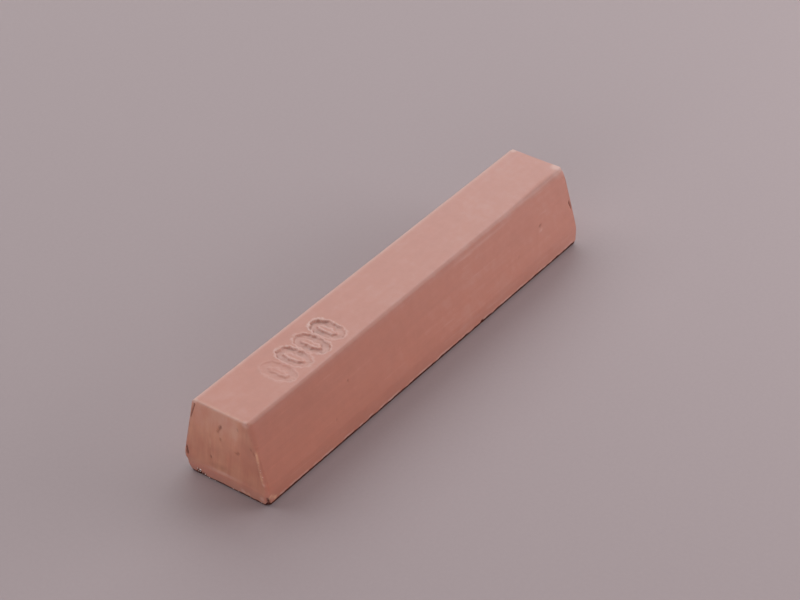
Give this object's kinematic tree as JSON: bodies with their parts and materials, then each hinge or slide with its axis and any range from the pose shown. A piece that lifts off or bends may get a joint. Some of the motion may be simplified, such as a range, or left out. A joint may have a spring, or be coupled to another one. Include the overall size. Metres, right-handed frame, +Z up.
{
  "type": "furniture repair wax stick",
  "caption": "Cast bar of pigmented wax with drafted sides, a straight base band, soft top edges and knife-cut ends, rubbed into scratches to repair furniture.",
  "frame": {"origin": "middle of the flat resting face, the wide pour side of the bar", "axes": "+X along the bar away from the cut end with the snapped lip, +Y to the left side, +Z up through the narrow top face"},
  "size_m": [0.08, 0.0152, 0.013],
  "materials": {
    "wax": "satin pink-brown wax, a little translucent"
  },
  "bodies": {
    "root": {"wax_stick": "wax"}
  },
  "joints": []
}
